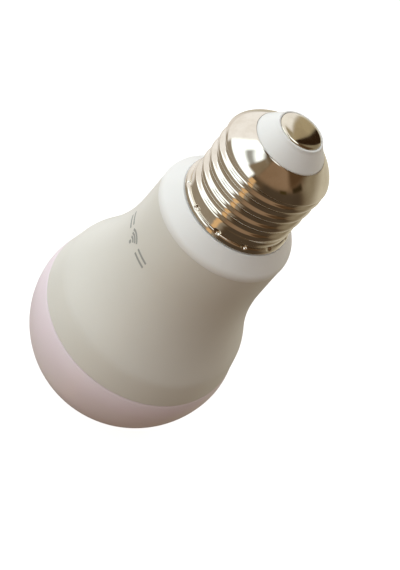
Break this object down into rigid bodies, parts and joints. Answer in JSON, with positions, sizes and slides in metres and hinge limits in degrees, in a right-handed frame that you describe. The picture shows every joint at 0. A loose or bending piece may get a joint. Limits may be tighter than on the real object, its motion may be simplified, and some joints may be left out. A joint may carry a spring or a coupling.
{
  "type": "smart light bulb",
  "caption": "Pear-shaped smart LED light bulb with a screw cap, a white collar, a moulded housing, a milky dome and its LED board, driver and radio inside.",
  "frame": {"origin": "middle of the flat on the centre contact, on the bulb's axis", "axes": "+Z along the bulb's axis from the dome to the screw cap; the bulb hangs below the origin; X and Y are across the bulb, and the driver board stands in a plane parallel to X and Z"},
  "size_m": [0.06, 0.06, 0.114],
  "materials": {
    "contact_plate": "polished nickel plate over brass",
    "insulator_plastic": "satin moulded",
    "shell_plate": "polished nickel plate, rolled thread",
    "collar_plastic": "satin moulded, the whiter of the two plastics",
    "housing_plastic": "satin moulded",
    "dome_plastic": "milky, faintly glossy",
    "silicone": "cured adhesive bead",
    "sink_aluminium": "pressed sheet",
    "pad_silicone": "soft pad",
    "board_aluminium": "white solder mask",
    "screw_steel": "zinc plated",
    "cool_led_package": "phosphor lens",
    "warm_led_package": "phosphor lens",
    "driver_laminate": "solder mask",
    "capacitor_sleeve": "shrink sleeve",
    "resistor_body": "lacquered",
    "varistor_body": "epoxy dipped",
    "film_body": "epoxy dipped",
    "chip_body": "moulded",
    "ferrite": "pressed",
    "copper_winding": "enamelled wire",
    "radio_laminate": "solder mask",
    "shield_tinplate": "tinned",
    "header_plastic": "moulded",
    "wire_sleeve": "extruded"
  },
  "bodies": {
    "root": {"centre_contact": "contact_plate", "cap_insulator": "insulator_plastic", "screw_shell": "shell_plate", "collar": "collar_plastic", "housing": "housing_plastic", "diffuser": "dome_plastic", "dome_sealant": "silicone", "heat_sink_cup": "sink_aluminium", "thermal_pad": "pad_silicone", "led_board": "board_aluminium", "board_screw_1": "screw_steel", "board_screw_2": "screw_steel", "cool_led_1": "cool_led_package", "cool_led_2": "cool_led_package", "cool_led_3": "cool_led_package", "cool_led_4": "cool_led_package", "cool_led_5": "cool_led_package", "cool_led_6": "cool_led_package", "cool_led_7": "cool_led_package", "cool_led_8": "cool_led_package", "warm_led_1": "warm_led_package", "warm_led_2": "warm_led_package", "warm_led_3": "warm_led_package", "warm_led_4": "warm_led_package", "warm_led_5": "warm_led_package", "warm_led_6": "warm_led_package", "warm_led_7": "warm_led_package", "warm_led_8": "warm_led_package", "driver_board": "driver_laminate", "input_capacitor": "capacitor_sleeve", "fuse_resistor": "resistor_body", "varistor": "varistor_body", "film_capacitor": "film_body", "output_capacitor": "capacitor_sleeve", "bridge_rectifier": "chip_body", "driver_chip": "chip_body", "transformer_core": "ferrite", "transformer_winding": "copper_winding", "choke_core": "ferrite", "choke_winding": "copper_winding", "radio_board": "radio_laminate", "radio_shield": "shield_tinplate", "pin_header": "header_plastic", "live_wire": "wire_sleeve", "neutral_wire": "copper_winding"}
  },
  "joints": []
}
